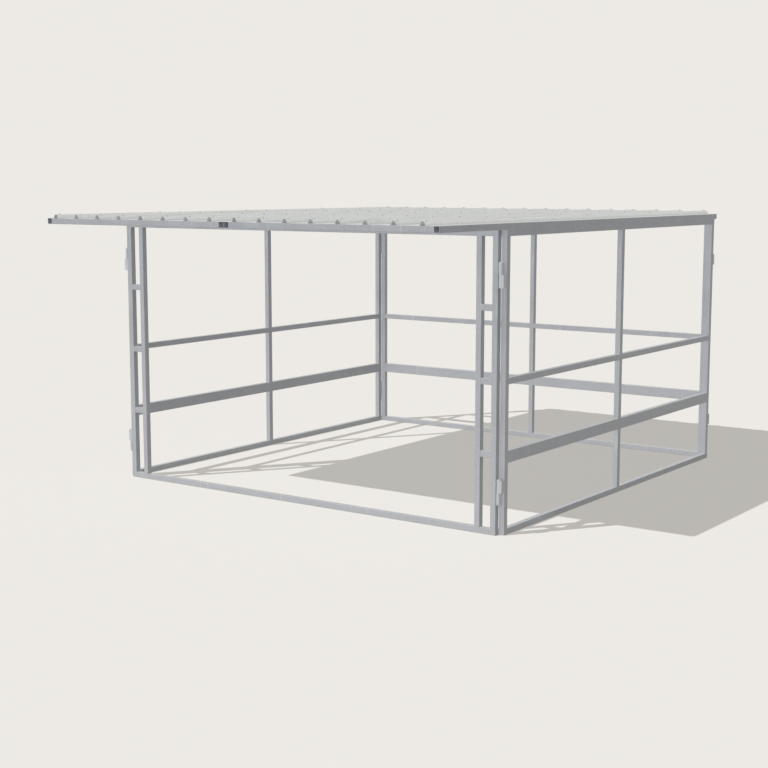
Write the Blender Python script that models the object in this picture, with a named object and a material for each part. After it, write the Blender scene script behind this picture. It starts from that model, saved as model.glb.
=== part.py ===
"""Stable shelter: four square-tube wall frames, pinned together at the corners, carry a flat
roof of two halves covered with trapezoidal sheet.

Units are metres and +Z is up. The entrance faces -Y. The origin lies on the ground under the
middle of the roof. Each wall frame is built lying along its own X with its outer face at
y = 0, and an empty turns it into its place.
"""
import math

import bmesh
import bpy
from mathutils import Matrix, Vector

# Clearances
SEAT = 0.0003            # between pieces that are welded, screwed or laid on each other
ROOF_PLAY = 0.006        # between the middle rafters of the two roof halves
SHEET_PLAY = 0.001       # between the two roof sheets
WELD_DEPTH = 0.001       # how far a welded-on piece is let into the wall that carries it

# Square tube of the frames and the roof
TUBE = 0.045
TUBE_WALL = 0.002
TUBE_CORNER = 0.003      # outer corner radius
DEEP_RAIL = 0.087        # height of the tube in the lower rails
CORNER_STEPS = 2
ROUND_SIDES = 24
HOLE_SIDES = 12
SMOOTH_ANGLE = 30        # degrees, up to which neighbouring faces are shaded as one

# Wall frames
FRAME_LENGTH = 3.600
FRAME_HEIGHT = 2.1615
CAP_THICKNESS = 0.0025   # plates that close the ends of base and top rails
VENT_RADIUS = 0.005      # drain holes for the zinc bath, in the rails' inner faces
VENT_INSET = 0.070       # from the frame's end
LOWER_RAIL_BOTTOM = 0.518
MIDDLE_RAIL_BOTTOM = 1.080

# Entrance side
JAMB_GAP = 0.0875        # clear width between the outer and the inner stile
RUNG_COUNT = 3
RUNG_INSET = 0.0006      # from the stiles' front and rear faces to the rungs'
RUNG_SPACING = 0.520
TOP_RUNG_DROP = 0.520    # from the middle of the top rail to the middle of the top rung

# Corner connectors: sleeves on the front and rear frames, brackets on the side frames
LOWER_CONNECTOR_HEIGHT = 0.356    # middle of the lower bracket above the ground
UPPER_CONNECTOR_DROP = 0.3575     # middle of the upper bracket below the frame's top
BRACKET_HEIGHT = 0.092
BRACKET_THICKNESS = 0.003
BRACKET_BEND = 0.008
BRACKET_MARGIN = 0.0015   # from the side frame's outer face to the bracket's first flange
BRACKET_LAP = 0.020       # how far the other flange runs along the stile's inner face
LAP_DEPTH = 0.0005        # how far that flange is let into the stile
CONNECTOR_PLAY = 0.0005   # between a bracket and the frame beside it, or the pin in it
SLEEVE_RADIUS = 0.018
SLEEVE_WALL = 0.007
SLEEVE_LENGTH = 0.086
SLEEVE_GAP = 0.001        # between the sleeve's end and the bracket's
SLEEVE_ROOM = 0.005       # between a sleeve and the end of the side frame
PIN_RADIUS = 0.0085
PIN_HEAD_RADIUS = 0.0145
PIN_HEAD_HEIGHT = 0.008
PIN_TIP_SHORT = 0.004     # how far the pin's tip stays inside the lower piece
PIN_CHAMFER = 0.0015

# Roof frame
RAFTER_LENGTH = 4.500
REAR_SETBACK = 0.006      # from the rafters' rear ends to the rear frame's outer face
PURLIN_COUNT = 3          # between the front and the rear beam

# Roof sheet
SHEET_THICKNESS = 0.0008
SHEET_EAVE = 0.020        # how far the sheet stands past the rafters' ends
SHEET_INSET = 0.012       # how far it stays inside the outer rafter's outer face
RIB_COUNT = 8             # on each half
RIB_HEIGHT = 0.029
RIB_CREST = 0.024
RIB_BASE = 0.046
RIB_BEND = 0.003

# Lugs under the rafters, which are screwed to the inner faces of the frames' top rails
LUG_THICKNESS = 0.005
LUG_LENGTH = 0.060        # along an outer rafter
LUG_MARGIN = 0.004        # from the top rail's lower edge
LUG_INSET = 0.600         # from the outer faces of the front and rear frames
LUG_SCREW_SPACING = 0.030
SCREW_HOLE_RADIUS = 0.0034
SCREW_REACH = 0.009       # of a hole to each side of the rail's inner face

# Places that follow from the sizes above
HALF_LENGTH = FRAME_LENGTH / 2
FRAME_PLAY = BRACKET_THICKNESS - LAP_DEPTH + CONNECTOR_PLAY    # between frames at a corner
SIDE_FACE = HALF_LENGTH + FRAME_PLAY + TUBE
END_STEP = 2 * SLEEVE_RADIUS + SLEEVE_ROOM      # from the front or rear face to a side frame's end
REAR_FACE = RAFTER_LENGTH / 2 - REAR_SETBACK
FRONT_FACE = REAR_FACE - FRAME_LENGTH - 2 * END_STEP
SIDE_MIDDLE = (FRONT_FACE + REAR_FACE) / 2
RAFTER_BOTTOM = FRAME_HEIGHT + SEAT
RAFTER_TOP = RAFTER_BOTTOM + TUBE
RAIL_SCREW_HEIGHT = FRAME_HEIGHT - TUBE / 2
ROOF_HALF = SIDE_FACE - ROOF_PLAY / 2
OUTER_RAFTER = SIDE_FACE - TUBE / 2             # middles of the rafters from the roof's middle
INNER_RAFTER = (ROOF_PLAY + TUBE) / 2
PIN_OUT = SLEEVE_RADIUS - WELD_DEPTH            # from the stile's side face to the pin's axis
PIN_BACK = SLEEVE_RADIUS                        # from the frame's outer face to the pin's axis
BRACKET_SETBACK = PIN_BACK - PIN_RADIUS - CONNECTOR_PLAY - BRACKET_THICKNESS

ALONG_X = Matrix.Rotation(math.pi / 2, 4, "Y")
ALONG_Y = Matrix.Rotation(-math.pi / 2, 4, "X")
ALONG_Z = Matrix.Identity(4)


def clear_scene():
    """Remove every object, so that the model starts from nothing."""
    for obj in list(bpy.data.objects):
        bpy.data.objects.remove(obj, do_unlink=True)


def make_material(name, colour, roughness, metallic):
    """A Principled material with one colour, roughness and metallic value."""
    material = bpy.data.materials.new(name)
    material.use_nodes = True
    shader = material.node_tree.nodes["Principled BSDF"]
    shader.inputs["Base Color"].default_value = (*colour, 1.0)
    shader.inputs["Roughness"].default_value = roughness
    shader.inputs["Metallic"].default_value = metallic
    return material


def add_object(name, mesh, material, matrix=ALONG_Z, parent=None):
    """Put a mesh into the scene as a named object at a place under its parent."""
    obj = bpy.data.objects.new(name, mesh)
    obj.data.materials.clear()
    if material is not None:
        obj.data.materials.append(material)
    obj.parent = parent
    obj.matrix_local = matrix
    bpy.context.scene.collection.objects.link(obj)
    return obj


def add_hidden(name, mesh, matrix=ALONG_Z, parent=None):
    """A hidden object that is only cut out of others or joined to them."""
    obj = add_object(name, mesh, None, matrix, parent)
    obj.hide_render = True
    obj.display_type = "WIRE"
    return obj


def add_empty(name, location, turn=0.0):
    """An empty that carries one assembly, turned about the upright axis."""
    empty = bpy.data.objects.new(name, None)
    empty.location = location
    empty.rotation_euler = (0.0, 0.0, turn)
    bpy.context.scene.collection.objects.link(empty)
    return empty


def combine(obj, other, operation):
    """Join another object to this one, or cut it out."""
    modifier = obj.modifiers.new(operation.lower(), "BOOLEAN")
    modifier.operation = operation
    modifier.solver = "EXACT"
    modifier.object = other


def weld(obj, piece):
    """Join a hidden piece to the tube that carries it."""
    combine(obj, piece, "UNION")


def drill(obj, cutter):
    """Cut the holes of a hidden cutter out of an object."""
    combine(obj, cutter, "DIFFERENCE")


def finish_mesh(bm, name, smooth=True):
    """Turn a bmesh into a mesh with its faces outward, shaded smooth over its round parts."""
    bmesh.ops.recalc_face_normals(bm, faces=bm.faces[:])
    mesh = bpy.data.meshes.new(name)
    bm.to_mesh(mesh)
    bm.free()
    if smooth:
        mesh.shade_smooth()
        mesh.set_sharp_from_angle(angle=math.radians(SMOOTH_ANGLE))
    return mesh


def grouped(name, mesh, matrices):
    """One mesh that holds a separate copy of another at each matrix."""
    bm = bmesh.new()
    for matrix in matrices:
        first = len(bm.verts)
        bm.from_mesh(mesh)
        bm.verts.ensure_lookup_table()
        bmesh.ops.transform(bm, matrix=matrix, verts=bm.verts[first:])
    return finish_mesh(bm, name)


def quarter_arc(middle_x, middle_y, radius, quarter):
    """Points on a quarter circle, which starts so many right angles round its middle."""
    angles = [math.pi / 2 * (quarter + step / CORNER_STEPS) for step in range(CORNER_STEPS + 1)]
    return [Vector((middle_x + radius * math.cos(angle), middle_y + radius * math.sin(angle), 0.0))
            for angle in angles]


def rounded_outline(width, height, radius):
    """Points round a rectangle with round corners, centred on the origin."""
    reach_x, reach_y = width / 2 - radius, height / 2 - radius
    points = []
    for quarter, (sign_x, sign_y) in enumerate(((1, 1), (-1, 1), (-1, -1), (1, -1))):
        points += quarter_arc(sign_x * reach_x, sign_y * reach_y, radius, quarter)
    return points


def round_outline(radius, sides):
    """Points on a circle round the origin."""
    angles = [2 * math.pi * step / sides for step in range(sides)]
    return [Vector((radius * math.cos(angle), radius * math.sin(angle), 0.0)) for angle in angles]


def stacked_mesh(name, rings, hollow=False):
    """A skin over rings of points, each an outline and a height, with flat ends or a bore."""
    bm = bmesh.new()
    loops = [[bm.verts.new(point + Vector((0.0, 0.0, height))) for point in outline]
             for outline, height in rings]
    pairs = list(zip(loops, loops[1:] + loops[:1]))
    for low, high in pairs if hollow else pairs[:-1]:
        for side in range(len(low)):
            after = (side + 1) % len(low)
            bm.faces.new((low[side], low[after], high[after], high[side]))
    if not hollow:
        bm.faces.new(loops[0])
        bm.faces.new(loops[-1])
    return finish_mesh(bm, name)


def prism_mesh(name, outline, length):
    """A flat outline drawn out along +Z."""
    return stacked_mesh(name, [(outline, 0.0), (outline, length)])


def bored_mesh(name, outer, inner, length):
    """A tube along +Z between an outer and an inner outline, open at both ends."""
    return stacked_mesh(name, [(outer, 0.0), (outer, length), (inner, length), (inner, 0.0)],
                        hollow=True)


def tube_outlines(width, height):
    """Outer and inner outline of a rectangular tube with round corners."""
    inside = 2 * TUBE_WALL
    return (rounded_outline(width, height, TUBE_CORNER),
            rounded_outline(width - inside, height - inside, TUBE_CORNER - TUBE_WALL))


def tube_mesh(length, height=TUBE):
    """Open-ended rectangular tube along +Z, whose height lies along X."""
    return bored_mesh("tube", *tube_outlines(height, TUBE), length)


def at(x, y, z, direction=ALONG_Z):
    """The place and direction of a piece as one matrix."""
    return Matrix.Translation((x, y, z)) @ direction


def closed_rail(name, bottom, material, parent):
    """Base or top rail: a tube as long as its frame, with closed ends and two drain holes."""
    outer, inner = tube_outlines(TUBE, TUBE)
    middle = bottom + TUBE / 2
    place = at(-HALF_LENGTH, TUBE / 2, middle, ALONG_X)
    rail = add_object(name, prism_mesh("rail", outer, FRAME_LENGTH), material, place, parent)
    cavity = prism_mesh("cavity", inner, FRAME_LENGTH - 2 * CAP_THICKNESS)
    inside = at(-HALF_LENGTH + CAP_THICKNESS, TUBE / 2, middle, ALONG_X)
    drill(rail, add_hidden(f"{name}_cavity", cavity, inside, parent))
    vent = prism_mesh("vent", round_outline(VENT_RADIUS, HOLE_SIDES), 3 * TUBE_WALL)
    across = HALF_LENGTH - VENT_INSET
    places = [at(x, TUBE - 2 * TUBE_WALL, middle, ALONG_Y) for x in (-across, across)]
    drill(rail, add_hidden(f"{name}_vents", grouped("vents", vent, places), ALONG_Z, parent))
    return rail


def outer_rails(prefix, material, parent):
    """Base rail and top rail of one frame. The top rail is handed back for its screw holes."""
    closed_rail(f"{prefix}_base_rail", 0.0, material, parent)
    return closed_rail(f"{prefix}_top_rail", FRAME_HEIGHT - TUBE, material, parent)


def stile(name, middle, material, parent):
    """An upright tube between the base rail and the top rail of its frame."""
    mesh = tube_mesh(FRAME_HEIGHT - 2 * (TUBE + SEAT))
    return add_object(name, mesh, material, at(middle, TUBE / 2, TUBE + SEAT), parent)


def connector_levels():
    """For each connector: the bracket's bottom, the sleeve's bottom and the pin's seat."""
    low = LOWER_CONNECTOR_HEIGHT - BRACKET_HEIGHT / 2
    high = FRAME_HEIGHT - UPPER_CONNECTOR_DROP - BRACKET_HEIGHT / 2
    above = high + BRACKET_HEIGHT + SLEEVE_GAP
    return {"lower": (low, low - SLEEVE_GAP - SLEEVE_LENGTH, low + BRACKET_HEIGHT),
            "upper": (high, above, above + SLEEVE_LENGTH)}


def weld_sleeves(stile_object, sign):
    """Weld short round tubes to the outer side of a stile, above and below the brackets."""
    sleeve = bored_mesh("sleeve", round_outline(SLEEVE_RADIUS, ROUND_SIDES),
                        round_outline(SLEEVE_RADIUS - SLEEVE_WALL, ROUND_SIDES), SLEEVE_LENGTH)
    places = [at(sign * (HALF_LENGTH + PIN_OUT), PIN_BACK, sleeve_bottom)
              for _, sleeve_bottom, _ in connector_levels().values()]
    name = f"{stile_object.name}_sleeves"
    weld(stile_object, add_hidden(name, grouped("sleeves", sleeve, places), ALONG_Z, stile_object.parent))


def bracket_outline(sign):
    """Plan of a folded U bracket, open towards the end face of the stile that carries it."""
    depth = END_STEP - BRACKET_SETBACK
    near, far = BRACKET_MARGIN, TUBE + FRAME_PLAY - CONNECTOR_PLAY
    bend_x, inner_bend = depth - BRACKET_BEND, BRACKET_BEND - BRACKET_THICKNESS
    bends = ((near + BRACKET_BEND, -1), (far - BRACKET_BEND, 0))
    outer, inner = [], []
    for bend_y, quarter in bends:
        outer += quarter_arc(bend_x, bend_y, BRACKET_BEND, quarter)
        inner += quarter_arc(bend_x, bend_y, inner_bend, quarter)
    ends = [(-BRACKET_LAP, far), (-BRACKET_LAP, far - BRACKET_THICKNESS)]
    points = [Vector((-WELD_DEPTH, near, 0.0)), *outer, *(Vector((*end, 0.0)) for end in ends),
              *reversed(inner), Vector((-WELD_DEPTH, near + BRACKET_THICKNESS, 0.0))]
    return [Vector((sign * (HALF_LENGTH + point.x), point.y, 0.0)) for point in points]


def weld_brackets(stile_object, sign):
    """Weld the lower and the upper U bracket to the end face of a side frame's stile."""
    bracket = prism_mesh("bracket", bracket_outline(sign), BRACKET_HEIGHT)
    places = [at(0.0, 0.0, bracket_bottom) for bracket_bottom, _, _ in connector_levels().values()]
    name = f"{stile_object.name}_brackets"
    weld(stile_object, add_hidden(name, grouped("brackets", bracket, places), ALONG_Z, stile_object.parent))


def entrance_frame(material, parent):
    """Front frame: on each side of the opening an outer stile, and an inner one with rungs."""
    top_rail = outer_rails("front", material, parent)
    outer = HALF_LENGTH - TUBE / 2
    inner = outer - TUBE - JAMB_GAP
    rung = bored_mesh("rung", *tube_outlines(TUBE, TUBE - 2 * RUNG_INSET), JAMB_GAP - SEAT + WELD_DEPTH)
    top_rung = FRAME_HEIGHT - TUBE / 2 - TOP_RUNG_DROP
    heights = [top_rung - RUNG_SPACING * index for index in range(RUNG_COUNT)]
    for side, sign in (("left", -1), ("right", 1)):
        weld_sleeves(stile(f"front_outer_stile_{side}", sign * outer, material, parent), sign)
        jamb = stile(f"front_inner_stile_{side}", sign * inner, material, parent)
        near, far = inner + TUBE / 2 - WELD_DEPTH, outer - TUBE / 2 - SEAT
        start = near if sign > 0 else -far
        places = [at(start, TUBE / 2, height, ALONG_X) for height in heights]
        weld(jamb, add_hidden(f"front_rungs_{side}", grouped("rungs", rung, places), ALONG_Z, parent))
    return top_rail


def wall_frame(prefix, ends, material, parent, weld_connectors):
    """Side or rear frame: end stiles, a middle stile, and two rails on each side of it."""
    top_rail = outer_rails(prefix, material, parent)
    stile(f"{prefix}_middle_stile", 0.0, material, parent)
    span = HALF_LENGTH - 1.5 * TUBE - 2 * SEAT
    for end, sign, start in ((ends[0], -1, -HALF_LENGTH + TUBE + SEAT), (ends[1], 1, TUBE / 2 + SEAT)):
        end_stile = stile(f"{prefix}_{end}_stile", sign * (HALF_LENGTH - TUBE / 2), material, parent)
        weld_connectors(end_stile, sign)
        for name, bottom, height in (("middle", MIDDLE_RAIL_BOTTOM, TUBE),
                                     ("lower", LOWER_RAIL_BOTTOM, DEEP_RAIL)):
            place = at(start, TUBE / 2, bottom + height / 2, ALONG_X)
            add_object(f"{prefix}_{name}_rail_{end}", tube_mesh(span, height), material, place, parent)
    return top_rail


def pin_mesh():
    """Drop pin with a round head: its seat, the head's underside, is at z = 0."""
    length = SLEEVE_LENGTH + SLEEVE_GAP + BRACKET_HEIGHT - PIN_TIP_SHORT
    profile = ((PIN_RADIUS - PIN_CHAMFER, -length), (PIN_RADIUS, -length + PIN_CHAMFER),
               (PIN_RADIUS, 0.0), (PIN_HEAD_RADIUS, 0.0),
               (PIN_HEAD_RADIUS, PIN_HEAD_HEIGHT - PIN_CHAMFER),
               (PIN_HEAD_RADIUS - PIN_CHAMFER, PIN_HEAD_HEIGHT))
    return stacked_mesh("drop_pin", [(round_outline(radius, ROUND_SIDES), height)
                                     for radius, height in profile])


def corner_pins(material):
    """Two drop pins at each corner, each with its origin on the axis that it slides along."""
    shape = pin_mesh()
    across = HALF_LENGTH + PIN_OUT
    for end, y in (("front", FRONT_FACE + PIN_BACK), ("rear", REAR_FACE - PIN_BACK)):
        for side, x in (("left", -across), ("right", across)):
            for level, (_, _, seat) in connector_levels().items():
                add_object(f"pin_{end}_{side}_{level}", shape.copy(), material, at(x, y, seat + SEAT))


def cross_positions():
    """Middles of the front beam, the purlins and the rear beam along the roof."""
    first = -RAFTER_LENGTH / 2 + TUBE / 2
    step = -2 * first / (PURLIN_COUNT + 1)
    return [first + step * index for index in range(PURLIN_COUNT + 2)]


def roof_half(side, sign, material):
    """Two rafters with the front beam, the purlins and the rear beam between them."""
    middle = RAFTER_BOTTOM + TUBE / 2
    rafters = []
    for name, x in (("outer", OUTER_RAFTER), ("inner", INNER_RAFTER)):
        place = at(sign * x, -RAFTER_LENGTH / 2, middle, ALONG_Y)
        rafters.append(add_object(f"{name}_rafter_{side}", tube_mesh(RAFTER_LENGTH), material, place))
    length = OUTER_RAFTER - INNER_RAFTER - TUBE - 2 * SEAT
    start = sign * (OUTER_RAFTER + INNER_RAFTER) / 2 - length / 2
    purlins = [f"purlin_{side}_{index + 1}" for index in range(PURLIN_COUNT)]
    names = [f"front_beam_{side}", *purlins, f"rear_beam_{side}"]
    for name, y in zip(names, cross_positions()):
        add_object(name, tube_mesh(length), material, at(start, y, middle, ALONG_X))
    return rafters


def hole_cutter(name, places):
    """Hidden cutter with one round hole at each place, centred on it."""
    outline = round_outline(SCREW_HOLE_RADIUS, HOLE_SIDES)
    hole = stacked_mesh("hole", [(outline, -SCREW_REACH), (outline, SCREW_REACH)])
    return add_hidden(name, grouped("holes", hole, places))


def outer_lugs(rafters, rails):
    """Weld plates to the outer rafters' inner faces, which hang down beside the side frames."""
    low, high = FRAME_HEIGHT - TUBE + LUG_MARGIN, RAFTER_TOP - TUBE_CORNER
    step = RAFTER_BOTTOM + TUBE_CORNER
    positions = (FRONT_FACE + LUG_INSET, REAR_FACE - LUG_INSET)
    holes = []
    for sign, rafter in zip((-1, 1), rafters):
        face = SIDE_FACE - TUBE
        back = face - SEAT - LUG_THICKNESS
        profile = ((face - SEAT, low), (face - SEAT, step), (face + WELD_DEPTH, step),
                   (face + WELD_DEPTH, high), (back, high), (back, low))
        lug = prism_mesh("lug", [Vector((sign * x, -z, 0.0)) for x, z in profile], LUG_LENGTH)
        places = [at(0.0, y - LUG_LENGTH / 2, 0.0, ALONG_Y) for y in positions]
        weld(rafter, add_hidden(f"{rafter.name}_lugs", grouped("lugs", lug, places)))
        holes += [at(sign * face, y + offset * LUG_SCREW_SPACING / 2, RAIL_SCREW_HEIGHT, ALONG_X)
                  for y in positions for offset in (-1, 1)]
    cutter = hole_cutter("outer_lug_holes", holes)
    for obj in (*rafters, *rails):
        drill(obj, cutter)


def inner_lugs(rafters, rails):
    """Weld plates under the inner rafters, inside the front and the rear frame."""
    low, high = FRAME_HEIGHT - TUBE + LUG_MARGIN, RAFTER_BOTTOM + WELD_DEPTH
    width = TUBE - 2 * TUBE_CORNER
    outline = rounded_outline(width, LUG_THICKNESS, LUG_THICKNESS / 4)
    lug = prism_mesh("lug", outline, high - low)
    faces = ((FRONT_FACE + TUBE, 1), (REAR_FACE - TUBE, -1))
    holes = []
    for sign, rafter in zip((-1, 1), rafters):
        places = [at(sign * INNER_RAFTER, face + inward * (SEAT + LUG_THICKNESS / 2), low)
                  for face, inward in faces]
        weld(rafter, add_hidden(f"{rafter.name}_lugs", grouped("lugs", lug, places)))
        holes += [at(sign * INNER_RAFTER, face, RAIL_SCREW_HEIGHT, ALONG_Y) for face, _ in faces]
    cutter = hole_cutter("inner_lug_holes", holes)
    for obj in (*rafters, *rails):
        drill(obj, cutter)


def rib_profile(sign):
    """Points across one sheet, from its outer edge to the middle of the roof."""
    pitch = ROOF_HALF / RIB_COUNT
    points = [(SIDE_FACE - SHEET_INSET, 0.0)]
    for index in range(RIB_COUNT):
        middle = SIDE_FACE - pitch * (index + 0.5)
        points += [(middle + RIB_BASE / 2, 0.0), (middle + RIB_CREST / 2, RIB_HEIGHT),
                   (middle - RIB_CREST / 2, RIB_HEIGHT), (middle - RIB_BASE / 2, 0.0)]
    points.append((SHEET_PLAY / 2, 0.0))
    return [(sign * x, z) for x, z in points]


def roof_sheet(side, sign, material):
    """Trapezoidal sheet: a folded strip drawn out along the rafters and given its thickness."""
    reach = RAFTER_LENGTH / 2 + SHEET_EAVE
    bm = bmesh.new()
    front, rear = [[bm.verts.new((x, y, z)) for x, z in rib_profile(sign)] for y in (-reach, reach)]
    for index in range(len(front) - 1):
        bm.faces.new((front[index], front[index + 1], rear[index + 1], rear[index]))
    folds = [edge for edge in bm.edges if len(edge.link_faces) == 2]
    bmesh.ops.bevel(bm, geom=folds, offset=RIB_BEND, segments=CORNER_STEPS, affect="EDGES")
    bmesh.ops.recalc_face_normals(bm, faces=bm.faces[:])
    bm.faces.ensure_lookup_table()
    if bm.faces[0].normal.z < 0.0:
        bmesh.ops.reverse_faces(bm, faces=bm.faces[:])
    mesh = bpy.data.meshes.new("roof_sheet")
    bm.to_mesh(mesh)
    bm.free()
    sheet = add_object(f"roof_sheet_{side}", mesh, material, at(0.0, 0.0, RAFTER_TOP + SEAT))
    solidify = sheet.modifiers.new("thickness", "SOLIDIFY")
    solidify.thickness = SHEET_THICKNESS
    solidify.offset = 1.0
    solidify.use_even_offset = True


def build():
    """Make every piece of the shelter."""
    clear_scene()
    tube_zinc = make_material("tube_zinc", (0.50, 0.52, 0.53), 0.48, 0.55)
    sheet_zinc = make_material("sheet_zinc", (0.62, 0.64, 0.62), 0.40, 0.55)
    pin_zinc = make_material("pin_zinc", (0.66, 0.67, 0.68), 0.35, 0.85)

    front = add_empty("front_frame", (0.0, FRONT_FACE, 0.0))
    right = add_empty("right_frame", (SIDE_FACE, SIDE_MIDDLE, 0.0), math.pi / 2)
    rear = add_empty("rear_frame", (0.0, REAR_FACE, 0.0), math.pi)
    left = add_empty("left_frame", (-SIDE_FACE, SIDE_MIDDLE, 0.0), -math.pi / 2)
    front_top = entrance_frame(tube_zinc, front)
    right_top = wall_frame("right", ("front", "rear"), tube_zinc, right, weld_brackets)
    rear_top = wall_frame("rear", ("right", "left"), tube_zinc, rear, weld_sleeves)
    left_top = wall_frame("left", ("rear", "front"), tube_zinc, left, weld_brackets)
    corner_pins(pin_zinc)

    left_outer, left_inner = roof_half("left", -1, tube_zinc)
    right_outer, right_inner = roof_half("right", 1, tube_zinc)
    outer_lugs((left_outer, right_outer), (left_top, right_top))
    inner_lugs((left_inner, right_inner), (front_top, rear_top))
    for side, sign in (("left", -1), ("right", 1)):
        roof_sheet(side, sign, sheet_zinc)


build()
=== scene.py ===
"""Open livestock shelter of zinc-coated square tube under a ribbed sheet roof, in a pale studio.

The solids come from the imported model. This file gives every tube, sheet and pin its zinc
finish, lays the weld seams along the joints, sets the roof and lug screws, and adds the studio.
Lengths are in metres and +Z is up. The entrance faces -Y.
"""
from __future__ import annotations

import logging
import math
import random
from collections.abc import Iterable, Mapping, Sequence
from dataclasses import dataclass, field, replace
from enum import Enum

import bmesh
import bpy
from mathutils import Matrix, Vector


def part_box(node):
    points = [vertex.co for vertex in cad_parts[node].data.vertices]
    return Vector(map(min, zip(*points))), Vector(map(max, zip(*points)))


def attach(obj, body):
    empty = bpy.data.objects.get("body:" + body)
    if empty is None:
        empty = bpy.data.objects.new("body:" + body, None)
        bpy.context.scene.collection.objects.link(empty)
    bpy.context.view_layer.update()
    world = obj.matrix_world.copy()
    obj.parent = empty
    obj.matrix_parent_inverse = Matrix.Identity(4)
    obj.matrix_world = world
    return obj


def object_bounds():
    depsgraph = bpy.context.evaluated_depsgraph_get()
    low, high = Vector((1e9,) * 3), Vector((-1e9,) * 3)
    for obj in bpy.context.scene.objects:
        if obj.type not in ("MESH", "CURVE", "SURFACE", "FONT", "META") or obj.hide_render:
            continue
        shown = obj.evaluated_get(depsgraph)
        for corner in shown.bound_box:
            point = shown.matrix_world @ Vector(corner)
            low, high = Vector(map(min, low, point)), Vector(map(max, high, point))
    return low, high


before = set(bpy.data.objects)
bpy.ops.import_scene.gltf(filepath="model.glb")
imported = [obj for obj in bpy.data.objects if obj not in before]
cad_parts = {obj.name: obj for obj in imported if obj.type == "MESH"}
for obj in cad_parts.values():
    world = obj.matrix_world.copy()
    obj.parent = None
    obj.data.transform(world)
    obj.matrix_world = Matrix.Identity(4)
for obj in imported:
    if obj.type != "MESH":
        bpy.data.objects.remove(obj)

CAD_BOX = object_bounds()
SHELTER = "shelter"
SIDES = (("left", -1.0), ("right", 1.0))
log = logging.getLogger("shelter")

Colour = tuple[float, float, float]
Triple = tuple[float, float, float]
Shares = tuple[float, ...]
Box = tuple[Vector, Vector]
Socket = bpy.types.NodeSocket


def box_side(name: str, axis: int) -> float:
    """Length of a solid's box along one axis."""
    low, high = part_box(name)
    return high[axis] - low[axis]


def placed(name: str, data: bpy.types.ID) -> bpy.types.Object:
    """Put a mesh, a lamp or a camera into the scene.

    Args:
        name: Name of the object.
        data: What it shows.

    Returns:
        The new object.
    """
    obj = bpy.data.objects.new(name, data)
    bpy.context.scene.collection.objects.link(obj)
    return obj


TUBE = box_side("rear_middle_stile", 0)


class Term:
    """A number or a value socket that turns Python arithmetic into Math nodes."""

    def __init__(self, shop: "NodeShop", source: Socket | float) -> None:
        """Keep the maker of the nodes, and the socket or number that gives the value."""
        self.shop = shop
        self.source = source

    def _math(self, operation: str, first: "Term | float", second: "Term | float") -> "Term":
        """Result of one Math node on two operands."""
        return self.shop.value("ShaderNodeMath", {"operation": operation}, {0: first, 1: second})

    def __add__(self, other: "Term | float") -> "Term":
        """Sum."""
        return self._math("ADD", self, other)

    __radd__ = __add__

    def __sub__(self, other: "Term | float") -> "Term":
        """Difference."""
        return self._math("SUBTRACT", self, other)

    def __rsub__(self, other: "Term | float") -> "Term":
        """Difference from a number."""
        return self._math("SUBTRACT", other, self)

    def __mul__(self, other: "Term | float") -> "Term":
        """Product."""
        return self._math("MULTIPLY", self, other)

    __rmul__ = __mul__

    def __gt__(self, other: "Term | float") -> "Term":
        """One where this value is the greater, else zero."""
        return self._math("GREATER_THAN", self, other)

    def ramp(self, low: float, high: float) -> "Term":
        """Value eased to rise from zero at the low end to one at the high end."""
        return self.shop.value("ShaderNodeMapRange", {"interpolation_type": "SMOOTHSTEP"},
                               {"Value": self, "From Min": low, "From Max": high})


Looks = tuple[Socket, Term, Term]


def weighed(shares: Shares, terms: Sequence[Term], start: float = 0.0) -> Term:
    """Sum of the start value and of each term times its share."""
    return sum((share * term for share, term in zip(shares, terms)), start)


@dataclass(frozen=True)
class Noise:
    """Soft noise, stretched along the axes where wanted, and eased to run from zero to one."""

    scale: float
    detail: float = 2.0
    low: float = 0.35
    high: float = 0.65
    roughness: float = 0.5
    stretch: Triple | None = None


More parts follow.
